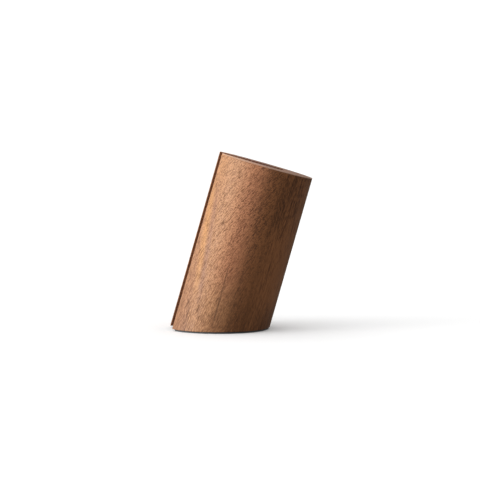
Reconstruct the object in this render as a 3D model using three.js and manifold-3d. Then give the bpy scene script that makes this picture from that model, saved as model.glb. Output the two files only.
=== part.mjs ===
// A leaning pen stand for dip pens.
//
// A turned walnut cylinder leans over a level base. A trough runs the whole length of its
// upper side, so the pens lie back against the trough's end wall. The trough is open right
// down to the base, where a thin anti-slip pad closes it and is the floor the pens stand on.
// Four steel slugs, set in bores beside the trough and hidden by the pad, hold the lean down.
//
// Millimetres, +Z up. The origin is the centre of the pad's underside, on the desk. The body
// leans towards +X, its trough opens towards -X, and both halves mirror across Y = 0.
import * as THREE from "three";
import { mergeVertices } from "three/addons/utils/BufferGeometryUtils.js";
import Module from "manifold-3d";

// Turned body
const bodyRadius = 30;
const bodyLength = 104; // along the leaning axis, from the level base to the square-cut top
const leanAngle = THREE.MathUtils.degToRad(16);
const rimEase = 0.3; // round on the edges of the square-cut top
const lipEase = 0.4; // round on the two long lips of the trough's mouth

// Trough
const troughWidth = 18;
const troughPastAxis = 12; // from the body's axis to the trough's end wall

// Base pad
const padThickness = 1;
const padInset = 1; // how far the pad stays inside the edge of the wood
const padMouthInset = 2; // how far its straight edge stays inside the trough's lips

// Ballast slugs, two on each side of the trough
const slugLength = 30;
const slugSetback = 10; // from the body's axis to the first slug of each pair, towards -X
const slugClearance = 0.3; // between a slug and its bore, filled by the adhesive
const boreWall = 3; // wood left between a bore and the trough, the skin or the next bore

// Facets
const bodyFacets = 128;
const slugFacets = 48;
const easeFacets = 3;

const cutMargin = 5; // how far a cutting solid runs past what it cuts

// The largest bore that leaves boreWall to the trough on one side and to the skin on the other
const troughHalf = troughWidth / 2;
const boreFromAxis = bodyRadius - boreWall;
const boreFromMiddle = troughHalf + boreWall;
const boreRoom = boreFromAxis ** 2 - boreFromMiddle ** 2 - slugSetback ** 2;
const boreRadius = boreRoom / (2 * (boreFromAxis + boreFromMiddle));
const slugRadius = boreRadius - slugClearance;

const walnut = new THREE.MeshStandardMaterial({ color: 0x7a4f35, roughness: 0.5, metalness: 0 });
const rubber = new THREE.MeshStandardMaterial({ color: 0x2b2b2c, roughness: 0.85, metalness: 0 });
const steel = new THREE.MeshStandardMaterial({ color: 0x8f9296, roughness: 0.4, metalness: 1 });

const wasm = await Module();
wasm.setup();

// A closed geometry as a solid that can be cut.
function solid(geometry) {
  const bare = geometry.index ? geometry.toNonIndexed() : geometry.clone();
  bare.deleteAttribute("normal");
  bare.deleteAttribute("uv");
  const merged = mergeVertices(bare, 1e-4);
  const vertProperties = new Float32Array(merged.attributes.position.array);
  const triVerts = new Uint32Array(merged.index.array);
  return new wasm.Manifold(new wasm.Mesh({ numProp: 3, vertProperties, triVerts }));
}

// A cut solid back as a geometry.
function toGeometry(shape) {
  const mesh = shape.getMesh();
  const geometry = new THREE.BufferGeometry();
  geometry.setAttribute("position", new THREE.BufferAttribute(mesh.vertProperties, 3));
  geometry.setIndex(new THREE.BufferAttribute(mesh.triVerts, 1));
  geometry.computeVertexNormals();
  return geometry;
}

// The leaning frame: its origin is the centre of the wood's level base, its Z is the body's
// axis, and its X still points away from the trough's mouth.
const leaningFrame = new THREE.Matrix4().makeRotationY(leanAngle);
leaningFrame.setPosition(0, 0, padThickness);

// A round bar standing on the XY plane.
function bar(radius, length, facets) {
  const geometry = new THREE.CylinderGeometry(radius, radius, length, facets);
  geometry.rotateX(Math.PI / 2);
  geometry.translate(0, 0, length / 2);
  return geometry;
}

function arc(x, y, radius, from, to, facets) {
  return new THREE.EllipseCurve(x, y, radius, radius, from, to).getPoints(facets);
}

// The body's section across its axis: a circle with the trough let in from -X. The lips of
// the trough are rounded by arcs that touch both the circle and the trough's walls.
function bodySection() {
  const lipY = troughHalf + lipEase;
  const lipX = -Math.sqrt((bodyRadius - lipEase) ** 2 - lipY ** 2);
  const lipAngle = Math.atan2(lipY, lipX);
  const points = [
    ...arc(0, 0, bodyRadius, -lipAngle, lipAngle, bodyFacets),
    ...arc(lipX, lipY, lipEase, lipAngle, 1.5 * Math.PI, easeFacets).slice(1),
    new THREE.Vector2(troughPastAxis, troughHalf),
    new THREE.Vector2(troughPastAxis, -troughHalf),
    ...arc(lipX, -lipY, lipEase, 0.5 * Math.PI, 2 * Math.PI - lipAngle, easeFacets).slice(0, -1),
  ];
  return new THREE.Shape(points);
}

// Where a slug's square lower end sits along the leaning axis, so that the lowest point of
// its rim stays slugClearance above the wood's level base.
function slugStart(x) {
  const rimDrop = (x + slugRadius) * Math.sin(leanAngle);
  return (slugClearance + rimDrop) / Math.cos(leanAngle);
}

const slugY = boreFromMiddle + boreRadius;
const boreSpacing = 2 * boreRadius + boreWall;
const slugPlaces = [];
for (const side of [-1, 1]) {
  for (const step of [0, 1]) {
    const x = -slugSetback + step * boreSpacing;
    slugPlaces.push(new THREE.Vector3(x, side * slugY, slugStart(x)));
  }
}

// The body starts below the base, long enough to be cut off level all round.
function makeBody() {
  const belowBase = bodyRadius * Math.tan(leanAngle) + cutMargin;
  const stock = new THREE.ExtrudeGeometry(bodySection(), {
    depth: belowBase + bodyLength - 2 * rimEase,
    bevelThickness: rimEase,
    bevelSize: rimEase,
    bevelOffset: -rimEase,
    bevelSegments: easeFacets,
  });
  stock.translate(0, 0, rimEase - belowBase);
  let shape = solid(stock.applyMatrix4(leaningFrame));

  const reach = 2 * (bodyRadius + belowBase);
  const underBase = new THREE.BoxGeometry(2 * reach, 2 * reach, reach);
  underBase.translate(0, 0, padThickness - reach / 2);
  shape = shape.subtract(solid(underBase));

  for (const place of slugPlaces) {
    const boreTop = place.z + slugLength + slugClearance;
    const bore = bar(boreRadius, belowBase + boreTop, slugFacets);
    bore.translate(place.x, place.y, -belowBase);
    shape = shape.subtract(solid(bore.applyMatrix4(leaningFrame)));
  }
  return new THREE.Mesh(toGeometry(shape), walnut);
}

// The leaning cylinder cut level is an ellipse, longer along the lean. The pad follows it
// and crosses the trough's open mouth in a straight edge.
function makePad() {
  const halfLength = bodyRadius / Math.cos(leanAngle) - padInset;
  const halfWidth = bodyRadius - padInset;
  const lipsX = -Math.sqrt(bodyRadius ** 2 - troughHalf ** 2) / Math.cos(leanAngle);
  const mouthAngle = Math.acos((lipsX + padMouthInset) / halfLength);
  const outline = new THREE.EllipseCurve(0, 0, halfLength, halfWidth, -mouthAngle, mouthAngle);
  const points = outline.getPoints(bodyFacets);
  const geometry = new THREE.ExtrudeGeometry(new THREE.Shape(points), {
    depth: padThickness,
    bevelEnabled: false,
  });
  return new THREE.Mesh(geometry, rubber);
}

const penStand = new THREE.Group();

const body = makeBody();
body.name = "body";
penStand.add(body);

const pad = makePad();
pad.name = "base_pad";
penStand.add(pad);

const ballast = new THREE.Group();
ballast.position.z = padThickness;
ballast.rotation.y = leanAngle;
slugPlaces.forEach((place, index) => {
  const slug = new THREE.Mesh(bar(slugRadius, slugLength, slugFacets), steel);
  slug.name = `ballast_slug_${index + 1}`;
  slug.position.copy(place);
  ballast.add(slug);
});
penStand.add(ballast);

export default penStand;
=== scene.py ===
# %% [markdown]
# # A leaning pen stand in walnut
# The real object is a turned walnut cylinder that leans over a level base, with a trough down
# its upper side for dip pens. A thin rubber pad closes the trough at the desk, and four steel
# slugs in the underside keep it from tipping. The CAD frame holds the plain shapes and where
# they stand. This script makes the fine pieces that take their place: soft edges, a real
# grain, rubber and bright steel.

# %% Load the frame
import math

import bmesh
import bpy
from mathutils import Matrix, Vector


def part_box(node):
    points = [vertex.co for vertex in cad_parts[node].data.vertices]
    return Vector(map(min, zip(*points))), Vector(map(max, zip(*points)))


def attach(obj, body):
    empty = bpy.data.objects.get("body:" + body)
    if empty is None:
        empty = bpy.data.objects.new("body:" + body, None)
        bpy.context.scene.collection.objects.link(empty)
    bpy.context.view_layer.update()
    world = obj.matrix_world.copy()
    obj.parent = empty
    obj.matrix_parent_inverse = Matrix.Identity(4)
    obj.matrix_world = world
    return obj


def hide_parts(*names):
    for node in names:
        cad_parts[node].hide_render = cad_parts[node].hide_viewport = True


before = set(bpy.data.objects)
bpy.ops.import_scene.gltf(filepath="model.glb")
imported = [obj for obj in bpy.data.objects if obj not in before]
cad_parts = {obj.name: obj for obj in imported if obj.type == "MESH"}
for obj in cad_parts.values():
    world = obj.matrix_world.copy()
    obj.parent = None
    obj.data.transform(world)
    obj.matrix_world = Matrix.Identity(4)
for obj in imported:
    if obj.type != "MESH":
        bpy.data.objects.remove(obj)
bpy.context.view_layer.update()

MM = 0.001
print("frame nodes:", sorted(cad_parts))

# %% [markdown]
# ## Driving sizes
# The radius, the pad and the slugs are read from the frame's boxes. The few facts that a box
# doesn't hold are stated here: the lean, the trough and the small rounds on the edges. The
# length of the body follows from them and from the frame's highest reach.

# %% Driving sizes
body_low, body_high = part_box("body")
pad_low, pad_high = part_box("base_pad")
lean = math.radians(16)
radius = (body_high.y - body_low.y) / 2
pad_top = pad_high.z
trough_half = 9 * MM
trough_end = 12 * MM
rim_ease = 0.3 * MM
lip_ease = 0.4 * MM
rim_reach = (radius - rim_ease) * math.cos(lean) + rim_ease
body_length = (body_high.x - rim_reach) / math.sin(lean) + rim_ease
print("radius %.2f mm, body length %.2f mm" % (radius / MM, body_length / MM))

# %% [markdown]
# ## The leaning frame
# Everything in the wood is square to the body's own axis, which leans. So each shape is made
# upright around the origin and this one matrix leans it, with the middle of the wood's level
# base on top of the pad. `drop_to_base` slides points along the axis onto that level base.

# %% Leaning frame
leaning = Matrix.Translation((0, 0, pad_top)) @ Matrix.Rotation(lean, 4, "Y")
drop_to_base = Matrix.Identity(4)
drop_to_base[2][0] = math.tan(lean)
print("the axis leans %.1f degrees" % math.degrees(lean))

# %% [markdown]
# ## Turning a mesh into a finished piece
# Every piece keeps its object at the origin and carries its place in its vertices, as the
# frame's own nodes do. One helper makes the object, hands it its material, hangs it from the
# root and hides the frame node that it stands for. Smooth shading with weighted normals lets a
# large flat face stay flat while the small rounds beside it catch the light.

# %% Finished pieces
smooth_below = math.radians(40)


def finish_piece(bm, name, material, node):
    bmesh.ops.recalc_face_normals(bm, faces=bm.faces[:])
    mesh = bpy.data.meshes.new(name)
    bm.to_mesh(mesh)
    bm.free()
    mesh.materials.append(material)
    mesh.shade_smooth()
    mesh.set_sharp_from_angle(angle=smooth_below)
    piece = bpy.data.objects.new(name, mesh)
    bpy.context.scene.collection.objects.link(piece)
    weighted = piece.modifiers.new("flat faces stay flat", "WEIGHTED_NORMAL")
    weighted.keep_sharp = True
    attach(piece, "root")
    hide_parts(node)
    print("%s: %d faces" % (name, len(mesh.polygons)))


# %% [markdown]
# ## Two steps that several pieces share
# Nearly every edge of a real piece is broken a little, and most pieces here start as a flat
# outline. So easing an edge and thickening an outline are helpers of their own.


# %% Easing and thickening
def ease(bm, edges, size, steps):
    """Rounds edges, as a pass of sandpaper does."""
    bmesh.ops.bevel(
        bm, geom=edges, offset=size, affect="EDGES", segments=steps, profile=0.5, material=-1
    )


def thicken(bm, height):
    """Raises a flat outline into a solid of that height."""
    made = bmesh.ops.extrude_face_region(bm, geom=bm.faces[:])
    raised = [item for item in made["geom"] if isinstance(item, bmesh.types.BMVert)]
    bmesh.ops.translate(bm, verts=raised, vec=(0, 0, height))
    bmesh.ops.recalc_face_normals(bm, faces=bm.faces[:])


# %% [markdown]
# ## Writing shader maths as expressions
# A procedural finish is a long sum of noises. `Value` wraps one socket, so `1 - mask` or
# `streaks * 0.4` adds the Math node it needs, and `step`, `fade`, `between` and `hill` turn a
# place into a soft mask.


# %% Sockets as values
class Value:
    def __init__(self, finish, socket):
        self.finish = finish
        self.socket = socket

    def math(self, operation, *others):
        sockets = dict(enumerate((self, *others)))
        return self.finish.add("Math", {"operation": operation}, sockets)

    def __add__(self, other):
        return self.math("ADD", other)

    __radd__ = __add__

    def __mul__(self, other):
        return self.math("MULTIPLY", other)

    __rmul__ = __mul__

    def __sub__(self, other):
        return self.math("SUBTRACT", other)

    def __rsub__(self, other):
        return self * -1 + other

    def step(self, low, high):
        """Rises smoothly from 0 at low to 1 at high."""
        settings = {"interpolation_type": "SMOOTHSTEP"}
        sockets = {"Value": self, "From Min": low, "From Max": high}
        return self.finish.add("MapRange", settings, sockets)

    def fade(self, low, high):
        """Falls smoothly from 1 at low to 0 at high."""
        return 1 - self.step(low, high)

    def between(self, low, risen, falling, high):
        """0 up to low, 1 from risen to falling and 0 again from high, with smooth flanks."""
        return self.step(low, risen) * self.fade(falling, high)

    def hill(self, middle, half_width):
        """1 at middle, falling smoothly to 0 half_width away on both sides."""
        return (self - middle).math("ABSOLUTE").fade(0, half_width)


# %% [markdown]
# ## Building a finish
# `Finish` holds the nodes of one material, or of the room. Its `add` makes any node from a
# type, its settings and what its sockets receive, and the other methods are short names for
# the nodes that are used most. A colour given as three numbers gets its fourth here.


# %% Finishes
def as_colour(value):
    return value if isinstance(value, Value) else (*value, 1)


def set_stops(ramp, stops):
    while len(ramp.elements) < len(stops):
        ramp.elements.new(0.5)
    for element, (place, colour) in zip(ramp.elements, stops):
        element.position = place
        element.color = (*colour, 1)


class Finish:
    """The nodes of an owner, which is a material or a world."""

    def __init__(self, owner):
        owner.use_nodes = True
        self.owner = owner
        self.tree = owner.node_tree
        self.tree.nodes.clear()

    def add(self, kind, settings=None, sockets=None, output=0):
        node = self.tree.nodes.new("ShaderNode" + kind)
        for key, value in (settings or {}).items():
            if key == "stops":
                set_stops(node.color_ramp, value)
            else:
                setattr(node, key, value)
        for key, value in (sockets or {}).items():
            if isinstance(value, Value):
                self.tree.links.new(value.socket, node.inputs[key])
            else:
                node.inputs[key].default_value = value
        return Value(self, node.outputs[output]) if node.outputs else None

    def vector(self, operation, first, second, output="Vector"):
        return self.add("VectorMath", {"operation": operation}, {0: first, 1: second}, output)

    def split(self, vector):
        return [self.add("SeparateXYZ", {}, {0: vector}, output=axis) for axis in "XYZ"]

    def join(self, x, y, z):
        return self.add("CombineXYZ", {}, {0: x, 1: y, 2: z})

    def mix(self, factor, first, second, blend="MIX"):
        """A colour between two colours; sockets 6 and 7 are the Mix node's colour pair."""
        settings = {"data_type": "RGBA", "blend_type": blend}
        sockets = {0: factor, 6: as_colour(first), 7: as_colour(second)}
        return self.add("Mix", settings, sockets, output=2)

    def noise(self, place, scale, detail=2, roughness=0.5, output="Fac"):
        sockets = {"Vector": place, "Scale": scale, "Detail": detail, "Roughness": roughness}
        return self.add("TexNoise", {}, sockets, output)

    def bump(self, height, strength, distance):
        sockets = {"Height": height, "Strength": strength, "Distance": distance}
        return self.add("Bump", {}, sockets)

    def surface(self, **sockets):
        """Ends a material with its shader and returns the material."""
        named = {key.replace("_", " "): value for key, value in sockets.items()}
        self.add("OutputMaterial", {}, {"Surface": self.add("BsdfPrincipled", {}, named)})
        print("%s: %d shader nodes" % (self.owner.name, len(self.tree.nodes)))
        return self.owner


# %% [markdown]
# ## The camera
# A long lens from a little above, about two metres away, keeps upright lines nearly parallel.
# It stands a few degrees to the trough's side, which opens a sliver of the trough.

# %% Camera
view_distance = 1.949
view_height = 0.222
view_turn = math.radians(4.9)
view_drop = math.radians(4.904)
aim_offset = 12.89 * MM
focal_length = 238.6
film_width = 36
camera_data = bpy.data.cameras.new("camera")
camera_data.sensor_width = film_width
camera_data.lens = focal_length
camera_data.clip_end = 60
camera = bpy.data.objects.new("camera", camera_data)
bpy.context.scene.collection.objects.link(camera)
bpy.context.scene.camera = camera
facing = Vector((math.sin(view_turn), math.cos(view_turn), 0))
beside = Vector((math.cos(view_turn), -math.sin(view_turn), 0))
camera.location = beside * aim_offset - facing * view_distance
camera.location.z = view_height
look = facing * math.cos(view_drop) - Vector((0, 0, math.sin(view_drop)))
camera.rotation_mode = "QUATERNION"
camera.rotation_quaternion = look.to_track_quat("-Z", "Y")
print("camera at", [round(c, 4) for c in camera.location])

# %% [markdown]
# ## The floor
# A white floor that runs out of sight. It is hidden from diffuse and glossy rays, which does the
# work of a black card: without that the floor would fill the shaded side of the wood with light.

# %% Floor
floor_reach = 20
floor_white = (0.85, 0.85, 0.85, 1)


def make_floor():
    bm = bmesh.new()
    bmesh.ops.create_circle(bm, cap_ends=True, radius=floor_reach, segments=64)
    mesh = bpy.data.meshes.new("floor")
    bm.to_mesh(mesh)
    bm.free()
    white = Finish(bpy.data.materials.new("studio white"))
    white.surface(Base_Color=floor_white, Roughness=0.9, Specular_IOR_Level=0.0)
    mesh.materials.append(white.owner)
    floor = bpy.data.objects.new("floor", mesh)
    floor.visible_diffuse = False
    floor.visible_glossy = False
    bpy.context.scene.collection.objects.link(floor)
    print("floor %d m across" % (2 * floor_reach))


make_floor()

# %% [markdown]
# ## The key light
# One very large soft source on the trough's side. Its middle is just below the horizon, so the
# floor hides its lower half and the light rakes across. It lights the floor well past white, as
# white sweeps are lit, so that only the deepest shadow beside the wood still shows.


# %% Key light
def make_key(strength, azimuth, elevation, spread):
    """A broad source that lights everything alike, from azimuth degrees round from the lens."""
    data = bpy.data.lights.new("key", "SUN")
    data.energy = strength
    data.angle = math.radians(spread)
    key = bpy.data.objects.new("key", data)
    bpy.context.scene.collection.objects.link(key)
    turn = view_turn + math.radians(azimuth)
    rise = math.radians(elevation)
    toward = Vector((-math.sin(turn), -math.cos(turn), 0)) * math.cos(rise)
    toward.z = math.sin(rise)
    key.rotation_mode = "QUATERNION"
    key.rotation_quaternion = toward.to_track_quat("Z", "Y")
    print("key light comes from", [round(c, 3) for c in toward])


make_key(strength=6.2, azimuth=71, elevation=-4, spread=48)

# %% [markdown]
# ## The room
# A pale room that is brightest overhead fills in from all round. How bright a direction is
# depends on how near it is to the bright side, by a ramp, and below the horizon it is a dim,
# even grey.

# %% Room
overhead = Vector((-0.25, 0.05, 0.97)).normalized()
room_levels = [(0.0, 0.36), (0.3, 0.72), (0.6, 1.15), (1.0, 1.55)]
level_below = 0.16


def make_room(bright_side):
    world = bpy.data.worlds.new("room")
    bpy.context.scene.world = world
    room = Finish(world)
    direction = room.add("TexCoord", output="Generated")
    nearness = room.vector("DOT_PRODUCT", direction, bright_side, output="Value")
    stops = [(place, (level,) * 3) for place, level in room_levels]
    upper = room.add("ValToRGB", {"stops": stops}, {"Fac": nearness})
    _, _, rise = room.split(direction)
    colour = room.mix(rise.math("GREATER_THAN", 0), (level_below,) * 3, upper)
    room.add("OutputWorld", {}, {"Surface": room.add("Background", {}, {"Color": colour})})
    print("room: %d shader nodes" % len(room.tree.nodes))


make_room(overhead)
bpy.context.scene.view_settings.view_transform = "Standard"

# %% [markdown]
# ## Walnut: one pattern in depth
# Solid wood is one pattern in depth, so the finish is worked out in the body's own leaning
# frame, in millimetres. The long side then shows long grain and the square-cut top shows end
# grain, with no seam between them. `x` runs from -30 at the trough's mouth to 30 under the
# lean, `y` from -30 at the front to 30 at the back, and `z` along the axis, from 0 at the foot
# to 104 at the top. The fibres of this blank wind round the axis as they rise, more and more
# steeply, which makes the curly figure near the top. So most patterns are read from a place
# that winds back again. On the side under the lean the grain runs straight and is read plainly.

# %% Walnut: places in the blank
tilt = 0.18  # how far a fibre on the skin runs sideways for every millimetre up, at the foot
swing = 0.0022  # how fast that grows up the body
shortening = 0.009  # how fast the marks get shorter up the body
sway_reach = (1.5, 1.5, 0)  # how far fibres wander from a straight line, in mm
sway_scale = 0.05
straighter = 1.6  # how much longer the marks are where the grain runs straight


class Blank:
    """The places from which the patterns in the wood are read."""

    def __init__(self, wood):
        coordinate = wood.add("TexCoord", output="Object")
        settings = {"vector_type": "TEXTURE"}
        sockets = {"Location": (0, 0, pad_top), "Rotation": (0, lean, 0), "Scale": (MM, MM, MM)}
        self.wood = wood
        self.place = wood.add("Mapping", settings, {"Vector": coordinate, **sockets})
        self.x, self.y, self.z = wood.split(self.place)
        drawn = self.drawn(self.place, stretch=3)
        sway = wood.noise(drawn, sway_scale, detail=1, output="Color")
        sway = wood.vector("SUBTRACT", sway, (0.5, 0.5, 0.5))
        sway = wood.vector("MULTIPLY", sway, sway_reach)
        self.straight = wood.vector("ADD", self.place, sway)
        self.swung = self.unwind(self.straight)
        self.leaning_side = self.x.step(2, 18)

    def unwind(self, place):
        """Turns a place back round the axis by as far as its fibre has wound."""
        _, _, z = self.wood.split(place)
        angle = z * (z * swing + tilt) * (-MM / radius)
        settings = {"rotation_type": "Z_AXIS"}
        unwound = self.wood.add("VectorRotate", settings, {"Vector": place, "Angle": angle})
        x, y, z = self.wood.split(unwound)
        return self.wood.join(x, y, z * (z * shortening + 1))

    def drawn(self, place, stretch):
        return self.wood.vector("MULTIPLY", place, (1, 1, 1 / stretch))

    def grain(self, place, stretch, scale, detail=2, roughness=0.5):
        """Noise about 0, drawn out along the fibres."""
        place = self.drawn(place, stretch)
        return self.wood.noise(place, scale, detail=detail, roughness=roughness) - 0.5

    def figure(self, stretch, scale, **more):
        """Grain that swings, but runs straight on the side under the lean."""
        swung = self.grain(self.swung, stretch, scale, **more)
        straight = self.grain(self.straight, stretch * straighter, scale, **more)
        return swung * (1 - self.leaning_side) + straight * self.leaning_side


# %% [markdown]
# ## Walnut: heart and growth rings
# The heart of a walnut tree is dark and the wood nearer the bark is pale. This blank was sawn
# beside the pith, so the heart ends part of the way across it. Every year's growth darkens
# slowly and ends sharply.

# %% Walnut: heart and rings
pith = (80, 30)
ring_width = 7.7
heart_edge = (94, 111.5)  # the dark heart fades out between these distances from the pith


def growth(blank):
    """The distance from the pith, and a band that darkens towards the end of each year."""
    x, y, _ = blank.wood.split(blank.straight)
    away_x, away_y = x - pith[0], y - pith[1]
    reach = (away_x * away_x + away_y * away_y).math("POWER", 0.5)
    year = (reach * (1 / ring_width)).math("FRACT")
    return reach, year.between(0.1, 0.85, 0.88, 1.0)


# %% [markdown]
# ## Walnut: how pale it is
# One tone runs from 0, the darkest wood, to 1, the palest. Noises drawn out along the fibres
# make its bands, streaks and short marks. The marks are crisp near the top and calm low on the
# side under the lean. The tone is also painted darker towards the foot, which is painted shade.
# Broad patches of painted light and shade then make whole parts of this blank paler or darker,
# for how the light falls across the body: lighter on the lit flank and under the lean, darker
# across the middle and low down.


# %% Walnut: tone
def calm_part(blank):
    """1 low on the side under the lean, where the marks are faint."""
    return blank.x.step(-12, 0) * blank.z.fade(40, 80)


def fibre_tone_and_foot_shade(blank, late, hatch):
    bands = blank.figure(stretch=14, scale=0.1)
    streaks = blank.figure(stretch=26, scale=0.7)
    stipple = blank.figure(stretch=3.5, scale=2.1, detail=0)
    crisp = blank.z.step(20, 90) * 0.5 - calm_part(blank) * 0.42 + 0.97
    tone = bands * 0.3 + streaks * 0.25 + (hatch * 1.9 + stipple * 1.8) * crisp + 0.7
    # Painted shade: the last term darkens the wood towards the foot, where the shade near the
    # floor falls.
    tone = tone - (late - 0.3) * 0.18 - blank.z.fade(2, 30) * 0.19
    return tone.step(-0.1, 1.1)


def painted_light_and_shade(x, z):
    upper = z.between(60, 74, 94, 104)
    # Painted light: fill on the shaded side under the lean, and a rim light along its edge
    # higher up.
    painted_fill_and_rim_light = x.hill(23, 11) * z.between(10, 40, 60, 84) + x.hill(29, 7) * upper
    # Painted shade: high on the right of the middle, and low under the lean near the foot.
    painted_shade_right = x.hill(13, 8) * upper + x.step(14, 27) * z.fade(0, 36)
    # Painted shade across the middle, strongest towards the foot, where the light falls away.
    painted_shade_middle = x.between(-18, -2, 10, 19) * z.fade(6, 88)
    # Painted light from the key on the flank beside the trough.
    painted_key_light = x.fade(-18, -6) * z.step(10, 70)
    return painted_fill_and_rim_light * 0.75 - painted_shade_right * 0.36 - painted_shade_middle * 0.27 + painted_key_light * 0.26


# %% [markdown]
# ## Walnut: stains of its own
# Walnut is seldom one brown. This blank has a purple cast where the pale wood turns dark, and
# beside the trough a browner edge, a honey streak and a thin plum one. Low on the front runs
# one hard, nearly black grain line. All but the cast are on the front half only.

# %% Walnut: stains
purple_cast = (1.05, 0.93, 0.98)
brown_cast = (0.78, 0.76, 0.83)
honey_brown = (0.58, 0.285, 0.11)
plum_brown = (0.25, 0.12, 0.085)
line_brown = (0.07, 0.028, 0.013)


def stain(wood, colour, x, y, z):
    front = y.fade(-14, -2)
    drift = x + z * 0.1
    browner = drift.fade(-22.8, -21.2) * z.fade(66, 92) * front
    honey = drift.hill(-20.2, 2.0) * z.between(10, 36, 72, 98) * front
    plum = drift.hill(-17.4, 2.0) * z.between(8, 24, 70, 96) * front
    line = (x + z * 0.01).hill(-7.2, 0.7) * z.between(2, 8, 34, 46) * front
    colour = wood.mix(x.hill(-6, 15) * z.step(12, 40), colour, purple_cast, "MULTIPLY")
    colour = wood.mix(browner * 0.8, colour, brown_cast, "MULTIPLY")
    colour = wood.mix(honey * 0.75, colour, honey_brown)
    colour = wood.mix(plum * 0.45, colour, plum_brown)
    return wood.mix(line * 0.55, colour, line_brown)


# %% [markdown]
# ## Walnut: vessels
# Vessels that the surface cuts through show as short dark dashes and smaller specks. They turn
# with the fibres, and like the other marks they are faint in the calm part.

# %% Walnut: vessels
vessel_shade = (0.3, 0.25, 0.23)


def cut_vessels(blank):
    """The mask of the vessels, and how strongly they darken the wood."""
    dashes = blank.figure(stretch=16, scale=2.0, detail=0)
    specks = blank.figure(stretch=5, scale=2.2, detail=0)
    vessels = (dashes.step(0.09, 0.19) + specks.step(0.11, 0.21)).math("MINIMUM", 1)
    return vessels, vessels * (blank.z.step(25, 75) * 0.2 - calm_part(blank) * 0.2 + 0.6)


# %% [markdown]
# ## Walnut: painted highlight on the rim, painted shade in the trough
# The rounded rim is painted paler all round, a painted highlight for the light that catches its
# rounded edge. The inside of the trough is painted much darker, a painted shade for the shadow
# deep in the narrow slot.

# %% Walnut: painted rim highlight and painted trough shade
# The colour of the rim's painted highlight.
rim_highlight_colour = (0.5, 0.33, 0.25)
# The colour that paints shade into the trough.
trough_shade_colour = (0.34, 0.18, 0.11)


def paint_rim_highlight(wood, colour, x, y, z):
    skin, top = radius / MM, body_length / MM
    across = (x * x + y * y).math("POWER", 0.5)
    # Painted highlight: the rounded rim is painted paler all round, for the light that catches
    # its edge.
    rim = across.step(skin - 0.8, skin - 0.4) * z.step(top - 0.7, top - 0.3)
    return wood.mix(rim * 0.6, colour, rim_highlight_colour)


def paint_trough_shade(wood, colour, x, y):
    wall, end = trough_half / MM, trough_end / MM
    # Painted shade: the inside of the trough is painted much darker, for the shadow in the
    # narrow slot.
    inside = y.math("ABSOLUTE").fade(wall + 0.02, wall + 0.1) * x.fade(end + 0.02, end + 0.1)
    return wood.mix(inside * 0.85, colour, trough_shade_colour, "MULTIPLY")


# %% [markdown]
# ## Walnut: the whole finish
# The layers go on in order: pale and dark wood by tone, with its painted light and shade, then
# stains, vessels, the rim's painted highlight and the trough's painted shade. The hatch of short
# marks also changes how rough the wood is, and the vessels are pressed in.

# %% Walnut finish
pale_low, pale_high = (0.29, 0.128, 0.055), (0.54, 0.27, 0.127)
heart_low, heart_high = (0.105, 0.038, 0.0115), (0.27, 0.106, 0.037)


def walnut():
    wood = Finish(bpy.data.materials.new("walnut"))
    blank = Blank(wood)
    x, y, z = blank.x, blank.y, blank.z
    reach, late = growth(blank)
    hatch = blank.figure(stretch=17, scale=2.2, detail=1, roughness=0.7)
    tone = fibre_tone_and_foot_shade(blank, late, hatch) + painted_light_and_shade(x, z)
    pale = wood.mix(tone, pale_low, pale_high)
    dark = wood.mix(tone, heart_low, heart_high)
    colour = wood.mix(reach.fade(*heart_edge), pale, dark)
    colour = stain(wood, colour, x, y, z)
    vessels, depth = cut_vessels(blank)
    colour = wood.mix(depth, colour, vessel_shade, "MULTIPLY")
    colour = paint_rim_highlight(wood, colour, x, y, z)
    return wood.surface(
        Base_Color=paint_trough_shade(wood, colour, x, y),
        Roughness=0.5 + vessels * 0.2 + hatch * 0.3,
        Specular_IOR_Level=0.3,
        Normal=wood.bump(hatch * 0.4 - vessels, strength=0.35, distance=0.1 * MM),
    )


# %% [markdown]
# ## The body's outline
# Seen along its axis the body is a circle with a square slot let in from one side. The two
# long lips of the slot are softened. Each arc is spun from a single vertex, and the spun
# vertices leave the edges behind them.

# %% Body outline
lip_y = trough_half + lip_ease
lip_x = -math.sqrt((radius - lip_ease) ** 2 - lip_y**2)
lip_angle = math.atan2(lip_y, lip_x)
skin_steps = 192
lip_steps = 6
print("the lips' rounds are centred %.1f mm from the trough's middle" % (lip_y / MM))


def spin_on(bm, vert, centre, angle, steps):
    """Carries a vertex round a centre and leaves an arc of edges behind it."""
    settings = {"cent": centre, "axis": (0, 0, 1), "angle": angle, "steps": steps}
    made = bmesh.ops.spin(bm, geom=[vert], **settings)
    return next(item for item in made["geom_last"] if isinstance(item, bmesh.types.BMVert))


def body_outline(bm):
    start = bm.verts.new((radius * math.cos(lip_angle), -radius * math.sin(lip_angle), 0))
    vert = spin_on(bm, start, (0, 0, 0), 2 * lip_angle, skin_steps)
    vert = spin_on(bm, vert, (lip_x, lip_y, 0), 1.5 * math.pi - lip_angle, lip_steps)
    for corner in ((trough_end, trough_half), (trough_end, -trough_half), (lip_x, -trough_half)):
        after = bm.verts.new((*corner, 0))
        bm.edges.new((vert, after))
        vert = after
    spin_on(bm, vert, (lip_x, -lip_y, 0), 1.5 * math.pi - lip_angle, lip_steps)
    bmesh.ops.remove_doubles(bm, verts=bm.verts[:], dist=0.01 * MM)
    bmesh.ops.contextual_create(bm, geom=bm.edges[:])


# %% [markdown]
# ## The slugs' places
# Each slug is a short steel bar along the body's axis. A box round a leaning bar gives its
# middle, and its width across the lean is the bar's own diameter, so every slug is read back
# from the frame.

# %% Slug places
slug_nodes = sorted(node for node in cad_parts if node.startswith("ballast_slug"))
slug_gap = 0.3 * MM


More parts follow.
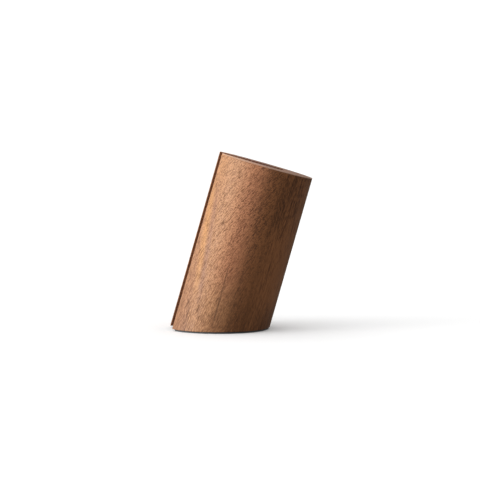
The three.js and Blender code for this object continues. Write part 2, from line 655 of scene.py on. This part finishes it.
def read_slug(node):
    low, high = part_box(node)
    slug_radius = (high.y - low.y) / 2
    length = (high.z - low.z - 2 * slug_radius * math.sin(lean)) / math.cos(lean)
    middle = leaning.inverted() @ ((low + high) / 2)
    return {"node": node, "radius": slug_radius, "length": length, "middle": middle}


slugs = [read_slug(node) for node in slug_nodes]
print("slug radius %.2f mm, length %.2f mm" % (slugs[0]["radius"] / MM, slugs[0]["length"] / MM))

# %% [markdown]
# ## The body
# The real one is turned round, grooved with a wide cutter, then cut off level at the foot and
# drilled from below for the slugs. The mesh is made in that order: spin the outline, extrude
# it, ease the rim, cut it level, ease the foot and let in the bores. A bore is two rings, one
# on the level base and one square to the axis at its blind end, joined by bridging.

# %% Body
foot_ease = 0.4 * MM
bore_steps = 64


def ring(bm, slug, height, shape):
    """A circle of vertices at a height along the axis, shaped by one more matrix."""
    middle = slug["middle"]
    place = leaning @ shape @ Matrix.Translation((middle.x, middle.y, height))
    radius_here = slug["radius"] + slug_gap
    made = bmesh.ops.create_circle(bm, radius=radius_here, segments=bore_steps, matrix=place)
    return list({edge for vert in made["verts"] for edge in vert.link_edges})


def lowest_face(bm):
    return min(bm.faces, key=lambda face: face.calc_center_median().z)


def let_in_bores(bm):
    foot = lowest_face(bm)
    rim = foot.edges[:]
    bmesh.ops.delete(bm, geom=[foot], context="FACES_ONLY")
    mouths = [ring(bm, slug, 0, drop_to_base) for slug in slugs]
    edges = rim + [edge for mouth in mouths for edge in mouth]
    bmesh.ops.triangle_fill(bm, use_beauty=True, use_dissolve=False, edges=edges)
    for slug, mouth in zip(slugs, mouths):
        blind_end = slug["middle"].z + slug["length"] / 2 + slug_gap
        end = ring(bm, slug, blind_end, Matrix.Identity(4))
        bmesh.ops.bridge_loops(bm, edges=mouth + end)
        bmesh.ops.contextual_create(bm, geom=end)


def make_body(material):
    bm = bmesh.new()
    body_outline(bm)
    below = radius * math.tan(lean) + 2 * MM
    thicken(bm, below + body_length)
    bmesh.ops.translate(bm, verts=bm.verts[:], vec=(0, 0, -below))
    top = max(bm.faces, key=lambda face: face.calc_center_median().z)
    ease(bm, top.edges[:], rim_ease, 4)
    bmesh.ops.transform(bm, matrix=leaning, verts=bm.verts[:])
    everything = bm.verts[:] + bm.edges[:] + bm.faces[:]
    cut = bmesh.ops.bisect_plane(
        bm, geom=everything, plane_co=(0, 0, pad_top), plane_no=(0, 0, 1), clear_inner=True
    )
    rim = [item for item in cut["geom_cut"] if isinstance(item, bmesh.types.BMEdge)]
    bmesh.ops.contextual_create(bm, geom=rim)
    bmesh.ops.recalc_face_normals(bm, faces=bm.faces[:])
    ease(bm, lowest_face(bm).edges[:], foot_ease, 3)
    let_in_bores(bm)
    finish_piece(bm, "walnut_body", material, "body")


make_body(walnut())

# %% [markdown]
# ## The base pad
# A rubber sheet about a millimetre thick, die-cut to sit just inside the wood's edge, with a
# straight edge across the trough's mouth. It keeps the stand from sliding, hides the slugs and
# is the floor that the pens stand on. Rubber is never quite black: fine crumbs in it catch
# the light, so two near greys are mixed by a fine noise, and the same noise makes the surface
# rougher and lifts it.


# %% Base pad
def rubber():
    pad = Finish(bpy.data.materials.new("charcoal rubber"))
    coordinate = pad.add("TexCoord", output="Object")
    crumb = pad.noise(coordinate, scale=2500)
    colour = pad.mix(crumb, (0.075, 0.076, 0.076), (0.12, 0.122, 0.12))
    normal = pad.bump(crumb, strength=0.3, distance=0.1 * MM)
    return pad.surface(Base_Color=colour, Roughness=0.75 + crumb * 0.2, Normal=normal)


pad_ease = 0.12 * MM
pad_steps = 192


def make_pad(material):
    bm = bmesh.new()
    bmesh.ops.create_circle(bm, cap_ends=True, radius=1, segments=pad_steps)
    half = (pad_high - pad_low) / 2
    bmesh.ops.scale(bm, verts=bm.verts[:], vec=(pad_high.x, half.y, 1))
    everything = bm.verts[:] + bm.edges[:] + bm.faces[:]
    bmesh.ops.bisect_plane(
        bm, geom=everything, plane_co=(pad_low.x, 0, 0), plane_no=(1, 0, 0), clear_inner=True
    )
    thicken(bm, pad_high.z - pad_low.z)
    caps = [face for face in bm.faces if abs(face.normal.z) > 0.5]
    ease(bm, [edge for face in caps for edge in face.edges], pad_ease, 2)
    finish_piece(bm, "rubber_base_pad", material, "base_pad")


make_pad(rubber())

# %% [markdown]
# ## The ballast slugs
# Four lengths sawn from bright steel bar, with the edge of each end broken. Drawn bar carries
# faint lines along its length, and a sawn end an even scratch. One noise, drawn out along the
# bar, gives both: it changes how rough the steel is and lifts it by a hair. A second, broad
# noise varies the grey a little.


# %% Ballast slugs
def bright_steel():
    steel = Finish(bpy.data.materials.new("bright steel"))
    coordinate = steel.add("TexCoord", output="Object")
    settings = {"vector_type": "TEXTURE"}
    sockets = {"Vector": coordinate, "Rotation": (0, lean, 0), "Scale": (MM, MM, MM)}
    bar = steel.add("Mapping", settings, sockets)
    drawn = steel.vector("MULTIPLY", bar, (1, 1, 0.04))
    lines = steel.noise(drawn, scale=5, detail=3, roughness=0.7)
    blotch = steel.noise(bar, scale=0.25, detail=3)
    colour = steel.mix(blotch, (0.38, 0.38, 0.39), (0.5, 0.5, 0.5))
    return steel.surface(
        Base_Color=colour,
        Metallic=1.0,
        Roughness=0.22 + lines * 0.25,
        Normal=steel.bump(lines, strength=0.15, distance=0.05 * MM),
    )


slug_chamfer = 0.5 * MM
slug_steps = 96


def make_slug(slug, material):
    bm = bmesh.new()
    size = {"radius1": slug["radius"], "radius2": slug["radius"], "depth": slug["length"]}
    place = leaning @ Matrix.Translation(slug["middle"])
    bmesh.ops.create_cone(bm, cap_ends=True, segments=slug_steps, matrix=place, **size)
    ends = [face for face in bm.faces if len(face.edges) == slug_steps]
    ease(bm, [edge for face in ends for edge in face.edges], slug_chamfer, 2)
    finish_piece(bm, "steel_" + slug["node"], material, slug["node"])


steel_finish = bright_steel()
for slug in slugs:
    make_slug(slug, steel_finish)

# %% [markdown]
# ## The end
# The finished stand has to fill the frame's own box.

# %% End
print("stand built")
